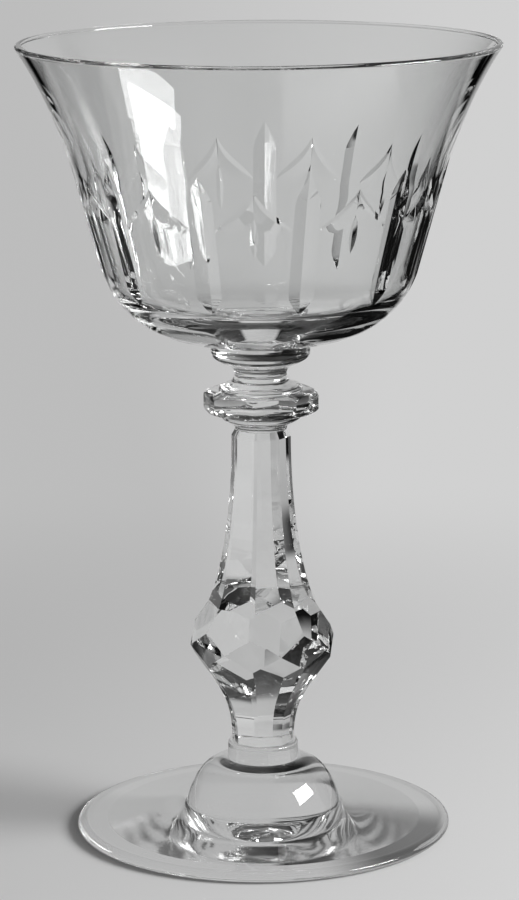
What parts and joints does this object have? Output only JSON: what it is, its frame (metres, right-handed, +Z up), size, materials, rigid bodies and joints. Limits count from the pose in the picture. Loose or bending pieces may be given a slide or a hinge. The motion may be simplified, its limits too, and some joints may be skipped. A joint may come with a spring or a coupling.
{
  "type": "sherbet glass",
  "caption": "Tall stemmed sherbet glass in clear cut crystal: flared bowl with a cut band, cut wafer, faceted baluster stem with a bulb, and a round foot.",
  "frame": {"origin": "centre of the flat ring on the underside of the foot, on the surface that the glass stands on", "axes": "+Z up along the stem, +X to the right and -Y towards the viewer in the picture"},
  "size_m": [0.095, 0.095, 0.159],
  "materials": {
    "foot_crystal": "clear colourless crystal, spun and fire polished",
    "stem_crystal": "clear colourless crystal, cut and polished",
    "bowl_crystal": "clear colourless crystal, blown, with a cut and polished band"
  },
  "bodies": {
    "root": {"foot": "foot_crystal", "foot_button": "foot_crystal", "stem_ring": "stem_crystal", "stem_shank": "stem_crystal", "stem_button": "stem_crystal", "cut_wafer": "stem_crystal", "neck_collar": "stem_crystal", "bowl_button": "bowl_crystal", "bowl": "bowl_crystal"}
  },
  "joints": []
}
